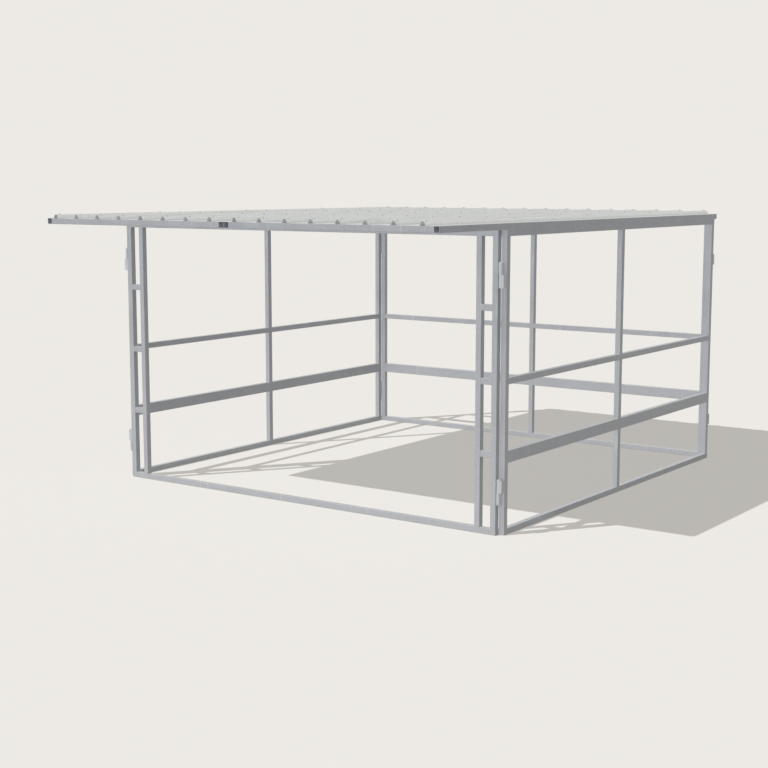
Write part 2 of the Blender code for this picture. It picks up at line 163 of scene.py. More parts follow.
class NodeShop:
    """Adds the nodes of one material."""

    def __init__(self, tree: bpy.types.NodeTree) -> None:
        """Start from a node tree."""
        self.tree = tree

    def add(self, kind: str, settings: Mapping[str, object] | None = None,
            inputs: Mapping[str | int, object] | None = None) -> bpy.types.Node:
        """Add a node, set it, and feed its sockets.

        Args:
            kind: Type name of the node.
            settings: Its properties, which are set first.
            inputs: A number, colour, socket or Term for each named or numbered input.

        Returns:
            The new node.
        """
        node = self.tree.nodes.new(kind)
        for key, setting in (settings or {}).items():
            setattr(node, key, setting)
        for key, given in (inputs or {}).items():
            self.feed(node.inputs[key], given)
        return node

    def feed(self, socket: Socket, given: object) -> None:
        """Link a socket, or set its own value.

        Args:
            socket: The input.
            given: A Term, an output socket, a number, or a colour or vector.
        """
        source = given.source if isinstance(given, Term) else given
        if isinstance(source, Socket):
            self.tree.links.new(source, socket)
        elif isinstance(source, tuple) and len(socket.default_value) == len(source) + 1:
            socket.default_value = (*source, 1.0)
        else:
            socket.default_value = source

    def value(self, kind: str, settings: Mapping[str, object],
              inputs: Mapping[str | int, object]) -> Term:
        """Add a node and hand its first output back as a Term."""
        return Term(self, self.add(kind, settings, inputs).outputs[0])

    def place(self) -> Socket:
        """Object coordinates in metres, which are the model's own."""
        return self.add("ShaderNodeTexCoord").outputs["Object"]

    def along(self, place: Socket, axis: int) -> Term:
        """Coordinate along one axis."""
        return Term(self, self.add("ShaderNodeSeparateXYZ", {}, {0: place}).outputs[axis])

    def stretched(self, place: Socket, factors: Triple) -> Socket:
        """Coordinates multiplied axis by axis."""
        return self.add("ShaderNodeVectorMath", {"operation": "MULTIPLY"},
                        {0: place, 1: factors}).outputs[0]

    def raw(self, place: Socket, noise: Noise) -> Term:
        """Noise as it is, from about 0.3 to 0.7.

        Args:
            place: Coordinates.
            noise: Scale, detail, roughness and stretch.

        Returns:
            The noise value.
        """
        spot = self.stretched(place, noise.stretch) if noise.stretch else place
        return self.value("ShaderNodeTexNoise", {}, {
            "Vector": spot, "Scale": noise.scale, "Detail": noise.detail,
            "Roughness": noise.roughness})

    def eased(self, place: Socket, noise: Noise) -> Term:
        """Noise that runs smoothly from zero to one."""
        return self.raw(place, noise).ramp(noise.low, noise.high)

    def crystals(self, place: Socket, scale: float) -> tuple[Term, Term]:
        """Flat many-sided cells, as zinc leaves when it sets.

        Args:
            place: Coordinates.
            scale: Cells in a metre.

        Returns:
            A random shade for each cell, and the distance from its middle.
        """
        node = self.add("ShaderNodeTexVoronoi", {"feature": "F1"},
                        {"Vector": place, "Scale": scale})
        shade = self.add("ShaderNodeSeparateColor", {}, {0: node.outputs["Color"]}).outputs[0]
        return Term(self, shade), Term(self, node.outputs["Distance"])

    def tint(self, factor: Term, first: Colour | Socket, second: Colour | Socket) -> Socket:
        """Mix of two colours; the factor is the share of the second."""
        return self.add("ShaderNodeMix", {"data_type": "RGBA"},
                        {0: factor, 6: first, 7: second}).outputs[2]

    def bump(self, height: Term, strength: float, distance: float) -> Socket:
        """Normal of a height from zero to one; the distance is what one stands for."""
        return self.add("ShaderNodeBump", {}, {"Strength": strength, "Distance": distance,
                                               "Height": height}).outputs[0]


class Run(Enum):
    """Direction in which a tube was drawn; its long scratches follow it."""

    ALONG_X = (2.0, 60.0, 60.0)
    ALONG_Y = (60.0, 2.0, 60.0)
    ALONG_Z = (60.0, 60.0, 2.0)


@dataclass(frozen=True)
class Finish:
    """Something that a surface is coated with."""

    name: str
    slot: str
    metal: float = 0.0
    roughness: float = 0.50
    relief_strength: float = 0.30
    relief_depth: float = 0.0003

    def material(self) -> bpy.types.Material:
        """Make the material with its nodes.

        Returns:
            The material.
        """
        made = bpy.data.materials.new(self.name)
        made.use_nodes = True
        shop = NodeShop(made.node_tree)
        colour, dullness, skin = self.looks(shop, shop.place())
        normal = shop.bump(skin, self.relief_strength, self.relief_depth)
        sockets = made.node_tree.nodes["Principled BSDF"].inputs
        for name, given in (("Base Color", colour), ("Roughness", dullness),
                            ("Metallic", self.metal), ("Normal", normal)):
            shop.feed(sockets[name], given)
        return made

    def looks(self, shop: NodeShop, place: Socket) -> Looks:
        """Colour, roughness and relief; each finish has its own."""
        raise NotImplementedError


@dataclass(frozen=True)
class DippedTube(Finish):
    """Hot-dip zinc on drawn tube: dull blue-grey with faint crystals, streaks and runs, and painted
    floor light near the ground.
    """

    run: Run = Run.ALONG_Z
    dark: Colour = (0.390, 0.408, 0.436)
    light: Colour = (0.496, 0.514, 0.542)
    # Paler colour painted near the ground in place of light that bounces up from the floor.
    painted_floor_light_colour: Colour = (0.625, 0.635, 0.650)
    metal: float = 0.30
    roughness: float = 0.56
    crystal_scale: float = 95.0
    clouds: Noise = Noise(4.5, 3.0, 0.32, 0.68)
    streaks: Noise = Noise(1.6, 4.0, 0.30, 0.70, 0.62)
    runs: Noise = Noise(1.0, 2.0, 0.61, 0.74, stretch=(38.0, 38.0, 3.2))
    pits: Noise = Noise(260.0)
    # Heights where the painted floor light starts and where it is strongest.
    painted_floor_light_top: float = 2.2
    painted_floor_light_foot: float = -0.4
    tones: Shares = (0.50, 0.26, 0.24)
    # Shares of the pale runs and of the painted floor light.
    runs_and_floor_light_shares: Shares = (0.40, 0.42)
    dulling: Shares = (-0.10, 0.10, 0.06)
    relief: Shares = (0.45, 0.30, 0.15, -0.10)
    relief_depth: float = 0.0006

    def looks(self, shop: NodeShop, place: Socket) -> Looks:
        """Dull patches, small crystals, streaks, pale runs, and painted bounce light from the floor
        that makes the tube paler towards the ground.

        Args:
            shop: Maker of the nodes.
            place: Coordinates.

        Returns:
            Colour, roughness and relief.
        """
        drawn = replace(self.streaks, stretch=self.run.value)
        clouds, streaks, runs = (shop.eased(place, noise)
                                 for noise in (self.clouds, drawn, self.runs))
        shade, rim = shop.crystals(place, self.crystal_scale)
        tone = weighed(self.tones, (clouds, shade, streaks))
        # Painted light: the tube grows paler towards the ground, in place of light bouncing up from
        # the floor.
        damp_and_floor_light = shop.along(place, 2).ramp(self.painted_floor_light_top, self.painted_floor_light_foot)
        runs_and_floor_light = weighed(self.runs_and_floor_light_shares, (runs, damp_and_floor_light))
        colour = shop.tint(runs_and_floor_light, self.coat(shop, place, tone), self.painted_floor_light_colour)
        dullness = weighed(self.dulling, (shade, clouds, runs), self.roughness)
        pits = shop.raw(place, self.pits)
        return colour, dullness, weighed(self.relief, (streaks, pits, runs, rim))

    def coat(self, shop: NodeShop, place: Socket, tone: Term) -> Socket:
        """Colour of the zinc before the runs and the painted floor light."""
        return shop.tint(tone, self.dark, self.light)


@dataclass(frozen=True)
class CornerStileZinc(DippedTube):
    """Zinc of a stile beside a corner: clearer on the sleeves and brackets in the corner's gap."""

    fitting_dark: Colour = (0.520, 0.545, 0.575)
    fitting_light: Colour = (0.640, 0.665, 0.695)
    front_reach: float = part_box("front_base_rail")[1].x
    side_low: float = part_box("right_base_rail")[0].y
    side_high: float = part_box("right_base_rail")[1].y
    margin: float = 0.0003

    def in_corner(self, shop: NodeShop, place: Socket) -> Term:
        """One in the square gap that the frames leave at each corner, else zero.

        Args:
            shop: Maker of the nodes.
            place: Coordinates.

        Returns:
            The mask.
        """
        x, y = shop.along(place, 0), shop.along(place, 1)
        from_middle = y - (self.side_low + self.side_high) / 2
        half = (self.side_high - self.side_low) / 2
        beside = x * x > (self.front_reach + self.margin) ** 2
        beyond = from_middle * from_middle > (half + self.margin) ** 2
        return beside * beyond

    def coat(self, shop: NodeShop, place: Socket, tone: Term) -> Socket:
        """Colour of the tube, or of the fittings in the corner."""
        fitting = shop.tint(tone, self.fitting_dark, self.fitting_light)
        return shop.tint(self.in_corner(shop, place), super().coat(shop, place, tone), fitting)


@dataclass(frozen=True)
class RolledSheet(Finish):
    """Zinc-coated roof sheet: broad bright crystals, rain streaks and soft waves in the pans."""

    dark: Colour = (0.720, 0.750, 0.762)
    light: Colour = (0.850, 0.882, 0.896)
    # Colour of the damp stains, and of the painted shade at the ribs' feet.
    silt_and_crease_shade: Colour = (0.590, 0.610, 0.606)
    metal: float = 0.88
    pan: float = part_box("roof_sheet_left")[0].z
    sheet: float = 0.0010
    # Height up the rib flanks that the painted shade at the ribs' feet reaches.
    crease_shade_depth: float = 0.018
    coarse_scale: float = 48.0
    fine_scale: float = 130.0
    streaks: Noise = Noise(1.3, 4.0, 0.32, 0.70, 0.6, (26.0, 1.1, 26.0))
    clouds: Noise = Noise(1.8, 3.0, 0.32, 0.68)
    damp_and_floor_light: Noise = Noise(1.0, 3.0, 0.58, 0.76, stretch=(14.0, 0.7, 14.0))
    waves: Noise = Noise(2.4, 1.0, stretch=(2.0, 1.0, 2.0))
    tones: Shares = (0.34, 0.20, 0.24, 0.22)
    # Shares of the damp stains and of the painted shade at the ribs' feet.
    damp_and_crease_shade_shares: Shares = (0.30, 0.60)
    dulling: Shares = (-0.10, 0.14, 0.06)
    relief: Shares = (0.70, 0.02, -0.02)
    relief_strength: float = 0.35
    relief_depth: float = 0.0040

    def looks(self, shop: NodeShop, place: Socket) -> Looks:
        """Crystals of two sizes, streaks along the fall, damp stains, and painted shade at the
        ribs' feet.

        Args:
            shop: Maker of the nodes.
            place: Coordinates.

        Returns:
            Colour, roughness and relief.
        """
        height = shop.along(place, 2)
        above_pan = height.ramp(self.pan + self.sheet, self.pan + 2 * self.sheet)
        # Painted shade: darker low on the rib flanks, where the crease beside the pan is shaded.
        foot = above_pan * height.ramp(self.pan + self.crease_shade_depth, self.pan + 4 * self.sheet)
        coarse, _ = shop.crystals(place, self.coarse_scale)
        fine, rim = shop.crystals(place, self.fine_scale)
        streaks, clouds, damp_and_floor_light = (shop.eased(place, noise)
                                 for noise in (self.streaks, self.clouds, self.damp_and_floor_light))
        tone = weighed(self.tones, (coarse, fine, streaks, clouds))
        metal = shop.tint(tone, self.dark, self.light)
        dullness = weighed(self.dulling, (coarse, damp_and_floor_light, clouds), self.roughness)
        skin = weighed(self.relief, (shop.raw(place, self.waves), fine, rim))
        return shop.tint(weighed(self.damp_and_crease_shade_shares, (damp_and_floor_light, foot)), metal, self.silt_and_crease_shade), dullness, skin


@dataclass(frozen=True)
class BrightZinc(Finish):
    """Plated steel of pins and screws: clearer than the tube, with scuffed rims."""

    dark: Colour = (0.60, 0.61, 0.62)
    light: Colour = (0.76, 0.77, 0.78)
    metal: float = 0.80
    roughness: float = 0.34
    marks: Noise = Noise(4.0, stretch=(8.0, 8.0, 220.0))
    clouds: Noise = Noise(70.0, 3.0)
    scuffs: Noise = Noise(420.0, 4.0, 0.56, 0.66, 0.7)
    tones: Shares = (0.55, 0.25, 0.20)
    dulling: Shares = (0.14, 0.14)
    relief: Shares = (0.6, 0.4)
    relief_strength: float = 0.25

    def looks(self, shop: NodeShop, place: Socket) -> Looks:
        """Fine turning marks, cloudy plating and small scuffs.

        Args:
            shop: Maker of the nodes.
            place: Coordinates.

        Returns:
            Colour, roughness and relief.
        """
        marks, clouds, scuffs = (shop.eased(place, noise)
                                 for noise in (self.marks, self.clouds, self.scuffs))
        tone = weighed(self.tones, (clouds, marks, scuffs))
        dullness = weighed(self.dulling, (clouds, scuffs), self.roughness)
        skin = weighed(self.relief, (marks, scuffs))
        return shop.tint(tone, self.dark, self.light), dullness, skin


@dataclass(frozen=True)
class DippedWeld(Finish):
    """Zinc over a weld bead: rippled, a little rougher and paler than the tube."""

    dark: Colour = (0.400, 0.415, 0.435)
    light: Colour = (0.560, 0.575, 0.590)
    metal: float = 0.30
    scales: Noise = Noise(330.0, 2.0, 0.38, 0.62)
    clouds: Noise = Noise(45.0, 3.0)
    tones: Shares = (0.6, 0.4)
    dulling: float = 0.16
    relief_strength: float = 0.45
    relief_depth: float = 0.0008

    def looks(self, shop: NodeShop, place: Socket) -> Looks:
        """Scales of the bead under cloudy zinc.

        Args:
            shop: Maker of the nodes.
            place: Coordinates.

        Returns:
            Colour, roughness and relief.
        """
        scales, clouds = shop.eased(place, self.scales), shop.eased(place, self.clouds)
        colour = shop.tint(weighed(self.tones, (clouds, scales)), self.dark, self.light)
        return colour, self.roughness + self.dulling * scales, scales


@dataclass(frozen=True)
class SealRubber(Finish):
    """Grey rubber of the washers under the roof screws."""

    dark: Colour = (0.300, 0.304, 0.310)
    light: Colour = (0.420, 0.424, 0.430)
    roughness: float = 0.62
    dust: Noise = Noise(240.0, 4.0, 0.40, 0.68, 0.65)
    dulling: float = 0.22
    relief_strength: float = 0.20

    def looks(self, shop: NodeShop, place: Socket) -> Looks:
        """Dusty, slightly mottled rubber."""
        dust = shop.eased(place, self.dust)
        return shop.tint(dust, self.dark, self.light), self.roughness + self.dulling * dust, dust


@dataclass
class FinishRack:
    """The finishes as materials, each made once."""

    made: dict[str, bpy.types.Material] = field(default_factory=dict)

    def get(self, finish: Finish) -> bpy.types.Material:
        """Material of a finish.

        Args:
            finish: The finish wanted.

        Returns:
            Its material.
        """
        if finish.name not in self.made:
            self.made[finish.name] = finish.material()
        return self.made[finish.name]


TUBE_FINISHES = {run: DippedTube(f"dipped_tube_{run.name.lower()}", "tube_zinc", run=run)
                 for run in Run}
STILE_FINISH = CornerStileZinc("dipped_corner_stile", "tube_zinc")
SHEET_FINISH = RolledSheet("rolled_sheet", "sheet_zinc")
PIN_FINISH = BrightZinc("bright_zinc", "pin_zinc")
WELD_FINISH = DippedWeld("dipped_weld", "tube_zinc")
SEAL_FINISH = SealRubber("seal_rubber", "sheet_zinc")


class MeshBuild:
    """Collects swept and stacked forms in one mesh."""

    SHARP_FROM = math.radians(40.0)

    def __init__(self) -> None:
        """Start with nothing."""
        self.work = bmesh.new()

    def skin(self, rings: Sequence[Sequence[Vector]], loop: bool = False, part: int = 0) -> None:
        """Lay faces between rings of equal count, and close the ends of an open row.

        Args:
            rings: Rings of points, in order.
            loop: The last ring joins the first again.
            part: Material number of the faces.
        """
        verts = [[self.work.verts.new(point) for point in ring] for ring in rings]
        pairs = list(zip(verts, verts[1:] + verts[:1]))
        for near, far in pairs if loop else pairs[:-1]:
            for side in range(len(near)):
                after = (side + 1) % len(near)
                face = self.work.faces.new((near[side], near[after], far[after], far[side]))
                face.material_index = part
        if not loop:
            for end in (verts[0], verts[-1]):
                self.work.faces.new(end).material_index = part

    def piece(self, name: str, finishes: Sequence[Finish], rack: FinishRack) -> bpy.types.Object:
        """Turn the collected form into a piece that rides on the shelter.

        Args:
            name: Name of the piece.
            finishes: One finish for each material number.
            rack: Where the materials are kept.

        Returns:
            The new object.
        """
        bmesh.ops.recalc_face_normals(self.work, faces=self.work.faces[:])
        mesh = bpy.data.meshes.new(name)
        self.work.to_mesh(mesh)
        self.work.free()
        mesh.shade_smooth()
        mesh.set_sharp_from_angle(angle=self.SHARP_FROM)
        for finish in finishes:
            mesh.materials.append(rack.get(finish))
        obj = placed(name, mesh)
        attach(obj, SHELTER)
        return obj


def joined_box(names: Iterable[str]) -> Box:
    """Box round several solids.

    Args:
        names: Names of the solids.

    Returns:
        Lowest and highest corner.
    """
    boxes = [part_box(name) for name in names]
    low = Vector([min(box[0][axis] for box in boxes) for axis in range(3)])
    high = Vector([max(box[1][axis] for box in boxes) for axis in range(3)])
    return low, high


@dataclass
class TubeWork:
    """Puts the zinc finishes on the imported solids, each along its own tube."""

    rack: FinishRack

    def direction(self, name: str) -> Run:
        """Direction in which a tube runs, from the longest side of its box."""
        sides = [box_side(name, axis) for axis in range(3)]
        return list(Run)[sides.index(max(sides))]

    def finish_of(self, name: str) -> Finish:
        """Finish that a solid gets.

        Args:
            name: Name of the solid.

        Returns:
            The finish.
        """
        if name.startswith("roof_sheet"):
            return SHEET_FINISH
        if name.startswith("pin_"):
            return PIN_FINISH
        if "stile" in name and "middle" not in name and "inner" not in name:
            return STILE_FINISH
        return TUBE_FINISHES[self.direction(name)]

    def dress(self) -> None:
        """Give every solid its material."""
        for name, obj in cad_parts.items():
            for slot in obj.material_slots:
                slot.material = self.rack.get(self.finish_of(name))
        log.info("dressed %d solids", len(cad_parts))


@dataclass
class WeldSeams:
    """Weld beads round the tube ends of one frame."""

    name: str
    rack: FinishRack
    nodes: tuple[str, ...]
    bead: float = 0.0024
    thinnest: float = 0.84
    thickest: float = 1.12
    tail: float = 0.35
    proud: float = 0.0004
    step: float = 0.0035
    least_steps: int = 4
    sides: int = 7
    corner: float = 0.003

    def __post_init__(self) -> None:
        """Measure the frame and start the bead's mesh."""
        self.low, self.high = joined_box(self.nodes)
        self.mesh = MeshBuild()
        self.dice = random.Random(self.name)

    def held_in(self, point: Vector) -> Vector:
        """Grind a point flush, so that no bead stands out of the frame's flat sides."""
        return Vector([min(max(value, low - self.proud), high + self.proud)
                       for value, low, high in zip(point, self.low, self.high)])

    def outline(self, wide: float, tall: float) -> list[tuple[Vector, Vector]]:
        """Even steps round a tube's rounded end, each with its outward direction.

        Args:
            wide: First side of the tube.
            tall: Second side.

        Returns:
            Points and directions in the plane of the end.
        """
        flat_w, flat_t = wide - 2 * self.corner, tall - 2 * self.corner
        arc = math.pi / 2 * self.corner
        around = 2 * (flat_w + flat_t) + 4 * arc
        spots = []
        for index in range(round(around / self.step)):
            run = index * self.step
            for quarter in range(4):
                flat = flat_t if quarter % 2 == 0 else flat_w
                turn = Matrix.Rotation(quarter * math.pi / 2, 2)
                half_w, half_t = (wide / 2, tall / 2) if quarter % 2 == 0 else (tall / 2, wide / 2)
                if run <= flat:
                    spot, out = Vector((half_w, run - flat / 2)), Vector((1.0, 0.0))
                    spots.append((turn @ spot, turn @ out))
                    break
                run -= flat
                if run <= arc:
                    out = Vector((math.cos(run / self.corner), math.sin(run / self.corner)))
                    middle = Vector((half_w - self.corner, half_t - self.corner))
                    spots.append((turn @ (middle + self.corner * out), turn @ out))
                    break
                run -= arc
        return spots

    def ring(self, middle: Vector, normal: Vector, wide_axis: Vector, wide: float = TUBE,
             tall: float = TUBE) -> None:
        """Lay one bead round a tube's end.

        Args:
            middle: Middle of the tube's end.
            normal: Direction along the tube, away from the joint.
            wide_axis: Direction of the tube's first side.
            wide: First side.
            tall: Second side.
        """
        tall_axis = normal.cross(wide_axis)
        rings = []
        for spot, out in self.outline(wide, tall):
            centre = middle + spot.x * wide_axis + spot.y * tall_axis
            away = out.x * wide_axis + out.y * tall_axis
            rings.append([self.held_in(point) for point in self.around(centre, away, normal)])
        self.mesh.skin(rings, loop=True)

    def around(self, centre: Vector, away: Vector, along: Vector,
               share: float = 1.0) -> list[Vector]:
        """Points round the bead at one place, slightly uneven like a hand-laid seam.

        Args:
            centre: Middle of the bead.
            away: Direction out of the seam.
            along: Direction across the bead.
            share: Thickness as a share of the bead's own.

        Returns:
            The ring of points.
        """
        radius = share * self.bead * self.dice.uniform(self.thinnest, self.thickest)
        angles = [2 * math.pi * side / self.sides for side in range(self.sides)]
        return [centre + radius * (math.cos(a) * away + math.sin(a) * along) for a in angles]

    def line(self, start: Vector, end: Vector, away: Vector) -> None:
        """Lay a straight bead between two points.

        Args:
            start: First point.
            end: Last point.
            away: Direction in which the seam faces.
        """
        run = end - start
        count = max(self.least_steps, round(run.length / self.step))
        cross = run.normalized().cross(away)
        rings = []
        for index in range(count + 1):
            share = self.tail if index in (0, count) else 1.0
            rings.append(self.around(start + run * (index / count), away, cross, share))
        self.mesh.skin(rings)

    def tube_ends(self, name: str, axis: int, core: float | None = None) -> None:
        """Lay a bead round both ends of a tube, from its box.

        Args:
            name: Name of the tube's solid.
            axis: Number of the axis that the tube runs along.
            core: Middle of the tube across, where the box also holds welded-on pieces.
        """
        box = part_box(name)
        across = [number for number in range(3) if number != axis]
        middle, size = (box[0] + box[1]) / 2, box[1] - box[0]
        if core is not None:
            middle[across[0]] = core
            size[across[0]] = size[across[1]] = TUBE
        unit = Matrix.Identity(3)
        for corner, inward in zip(box, (1.0, -1.0)):
            spot = middle.copy()
            spot[axis] = corner[axis]
            self.ring(spot, inward * unit[axis], unit[across[0]], *(size[side] for side in across))

    def finish(self) -> bpy.types.Object:
        """Close the frame's seams as one piece."""
        log.info("laid the seams of %s", self.name)
        return self.mesh.piece(self.name, (WELD_FINISH,), self.rack)


@dataclass
class CornerConnector:
    """Places of sleeves, brackets and pins at one corner of the shelter."""

    pin_name: str
    sleeve_length: float = 0.086
    bracket_height: float = 0.092
    gap: float = 0.001
    head: float = 0.0083

    def __post_init__(self) -> None:
        """Read the pin's axis and seat from its solid."""
        low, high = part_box(self.pin_name)
        self.axis = (low + high) / 2
        self.seat = high.z - self.head
        self.side = 1.0 if self.axis.x > 0.0 else -1.0
        self.end = 1.0 if self.axis.y > 0.0 else -1.0
        self.upper = self.pin_name.endswith("upper")

    def sleeve_span(self) -> tuple[float, float]:
        """Lower and upper end of the sleeve."""
        top = self.seat if self.upper else self.seat - self.bracket_height - self.gap
        return top - self.sleeve_length, top

    def bracket_span(self) -> tuple[float, float]:
        """Lower and upper end of the bracket."""
        top = self.seat - self.sleeve_length - self.gap if self.upper else self.seat
        return top - self.bracket_height, top


@dataclass
class FrameWelds:
    """All weld seams of the four wall frames and the roof."""

    rack: FinishRack
    rung_count: int = 3
    rung_spacing: float = 0.520
    bracket_margin: float = 0.0015
    bracket_thickness: float = 0.003
    bracket_lap: float = 0.020
    groove_back: float = 0.0085
    groove_out: float = 0.0012
    groove_facing: tuple[float, float] = (0.6, 0.8)
    seam_short: float = 0.004
    roof_proud: float = 0.0001

    def entrance(self) -> bpy.types.Object:
        """Seams of the entrance frame: stiles, rungs and sleeves.

        Returns:
            The piece with all its seams.
        """
        rails = ("front_base_rail", "front_top_rail")
        seams = WeldSeams("front_frame_welds", self.rack, rails)
        for side, sign in SIDES:
            low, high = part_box(f"front_inner_stile_{side}")
            inner = sign * (min(abs(low.x), abs(high.x)) + TUBE / 2)
            outer = sign * (seams.high.x - TUBE / 2)
            seams.tube_ends(f"front_outer_stile_{side}", 2, core=outer)
            seams.tube_ends(f"front_inner_stile_{side}", 2, core=inner)
            self.rungs(seams, sign, inner, outer)
            self.sleeves(seams, side, "front", sign * seams.high.x)
        return seams.finish()

    def rungs(self, seams: WeldSeams, sign: float, inner: float, outer: float) -> None:
        """Seams round both ends of the rungs on one side.

        Args:
            seams: Seams of the entrance frame.
            sign: Side of the shelter.
            inner: Middle of the inner stile.
            outer: Middle of the outer stile.
        """
        depth = (seams.low.y + seams.high.y) / 2
        top = seams.high.z - TUBE / 2
        for number in range(1, self.rung_count + 1):
            height = top - number * self.rung_spacing
            for x, normal in ((inner + sign * TUBE / 2, sign), (outer - sign * TUBE / 2, -sign)):
                seams.ring(Vector((x, depth, height)), Vector((normal, 0.0, 0.0)),
                           Vector((0.0, 1.0, 0.0)))

    def upright(self, seams: WeldSeams, x: float, y: float, span: tuple[float, float],
                away: Vector) -> None:
        """Lay an upright bead, a little shorter than the span of the piece that it holds."""
        seams.line(Vector((x, y, span[0] + self.seam_short)),
                   Vector((x, y, span[1] - self.seam_short)), away)

    def sleeves(self, seams: WeldSeams, side: str, end: str, face: float) -> None:
        """Upright seams on both sides of each sleeve at one corner.

        Args:
            seams: Seams of the frame that carries the sleeves.
            side: left or right.
            end: front or rear.
            face: X of the stile's side face.
        """
        outward, backward = self.groove_facing
        for level in ("lower", "upper"):
            corner = CornerConnector(f"pin_{end}_{side}_{level}")
            x = face + corner.side * self.groove_out
            for shift in (-1.0, 1.0):
                away = Vector((corner.side * outward, shift * backward, 0.0))
                y = corner.axis.y + shift * self.groove_back
                self.upright(seams, x, y, corner.sleeve_span(), away)

    def wall(self, prefix: str, ends: Sequence[str], axis: int) -> bpy.types.Object:
        """Seams of a side frame or the rear frame.

        Args:
            prefix: Name of the frame.
            ends: Names of its two ends.
            axis: Number of the axis that its rails run along.

        Returns:
            The piece with all its seams.
        """
        names = (f"{prefix}_base_rail", f"{prefix}_top_rail")
        seams = WeldSeams(f"{prefix}_frame_welds", self.rack, names)
        low, high = seams.low, seams.high
        seams.tube_ends(f"{prefix}_middle_stile", 2)
        for end in ends:
            sign = 1.0 if end in ("rear", "right") else -1.0
            core = (high[axis] if sign > 0.0 else low[axis]) - sign * TUBE / 2
            self.stile_ends(seams, core, axis)
            for kind in ("middle", "lower"):
                seams.tube_ends(f"{prefix}_{kind}_rail_{end}", axis)
            if prefix == "rear":
                self.sleeves(seams, end, "rear", sign * high.x)
            else:
                self.brackets(seams, prefix, end, core + sign * TUBE / 2)
        return seams.finish()

    def stile_ends(self, seams: WeldSeams, core: float, axis: int) -> None:
        """Seams round the foot and the head of an end stile.

        Args:
            seams: Seams of the frame.
            core: Middle of the stile along the frame.
            axis: Number of the axis that the frame runs along.
        """
        for height, normal in ((seams.low.z + TUBE, 1.0), (seams.high.z - TUBE, -1.0)):
            middle = (seams.low + seams.high) / 2
            middle[axis] = core
            middle.z = height
            seams.ring(middle, Vector((0.0, 0.0, normal)), Vector((1.0, 0.0, 0.0)))

    def brackets(self, seams: WeldSeams, side: str, end: str, face: float) -> None:
        """Seams where the U brackets meet the end face and the inner face of a stile.

        Args:
            seams: Seams of the side frame.
            side: left or right.
            end: front or rear.
            face: Y of the stile's end face.
        """
        for level in ("lower", "upper"):
            corner = CornerConnector(f"pin_{end}_{side}_{level}")
            span = corner.bracket_span()
            outer = seams.high.x if corner.side > 0.0 else seams.low.x
            out = Vector((corner.side, 0.0, 0.0))
            back = Vector((0.0, corner.end, 0.0))
            flange = outer - corner.side * (self.bracket_margin + self.bracket_thickness)
            self.upright(seams, flange, face, span, (back - out).normalized())
            inner = outer - corner.side * (TUBE + self.groove_out)
            lap = face - corner.end * self.bracket_lap
            self.upright(seams, inner, lap, span, (-back - out).normalized())

    def roof(self) -> bpy.types.Object:
        """Seams round the ends of the beams and the purlins.

        Returns:
            The piece with all its seams.
        """
        kinds = ("front_beam", "rear_beam", "purlin")
        crossing = tuple(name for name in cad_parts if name.startswith(kinds))
        seams = WeldSeams("roof_frame_welds", self.rack, crossing, proud=self.roof_proud)
        for name in crossing:
            seams.tube_ends(name, 0)
        return seams.finish()

    def build(self) -> None:
        """Lay all seams."""
        self.entrance()
        for side, _ in SIDES:
            self.wall(side, ("front", "rear"), 1)
        self.wall("rear", ("left", "right"), 0)
        self.roof()


@dataclass(frozen=True)
class HexScrew:
    """Self-drilling screw: six-sided head on a round flange, with a domed top and a washer."""

    head: float = 0.0046
    head_height: float = 0.0048
    flange: float = 0.0074
    flange_height: float = 0.0012
    washer: float = 0.0080
    washer_height: float = 0.0016
    edge: float = 0.0004
    root: float = 0.0005
    flats: float = 0.0008
    chamfer: float = 0.0009
    dimple: float = 0.0006
    sides: int = 24

    def ring(self, radius: float, height: float, six: float = 0.0) -> list[Vector]:
        """Points round the screw's axis.

        Args:
            radius: Radius of the corners.
            height: Height above the seat.
            six: Share by which the ring follows a hexagon.

        Returns:
            The ring.
        """
        points = []
        for index in range(self.sides):
            angle = 2 * math.pi * index / self.sides
            from_flat = angle % (math.pi / 3) - math.pi / 6
            flat = math.cos(math.pi / 6) / math.cos(from_flat)
            reach = radius * (1.0 + six * (flat - 1.0))
            points.append(Vector((reach * math.cos(angle), reach * math.sin(angle), height)))
        return points

    def metal(self) -> list[list[Vector]]:
        """Rings of the flange and the head: share of the radius, height, share of a hexagon.

        Returns:
            The rings, from the flange's foot to the head's dimple.
        """
        low = self.washer_height
        seat = low + self.flange_height
        top = seat + self.head_height
        flange = ((0.90, low, 0.0), (1.00, low + self.edge, 0.0), (0.97, seat, 0.0))
        head = ((1.08, seat + self.root, 0.6), (1.00, seat + self.flats, 1.0),
                (1.00, top - self.chamfer, 1.0), (0.84, top, 0.5), (0.40, top - self.dimple, 0.2))
        return [self.ring(radius * share, height, six)
                for radius, turned in ((self.flange, flange), (self.head, head))
                for share, height, six in turned]

    def seal(self) -> list[list[Vector]]:
        """Rings of the washer: share of its radius, and share of its height."""
        turned = ((0.96, 0.0), (1.04, 0.45), (0.94, 1.0), (0.50, 1.02))
        return [self.ring(self.washer * share, self.washer_height * rise) for share, rise in turned]

    def drive(self, mesh: MeshBuild, place: Matrix) -> None:
        """Set one screw at its seat and in its direction."""
        for part, rings in enumerate((self.metal(), self.seal())):
            mesh.skin([[place @ point for point in ring] for ring in rings], part=part)


ROOF_SCREW = HexScrew()
LUG_SCREW = HexScrew(head=0.0058, head_height=0.0055, flange=0.0092, flange_height=0.0014,
                     washer=0.0085, washer_height=0.0006)


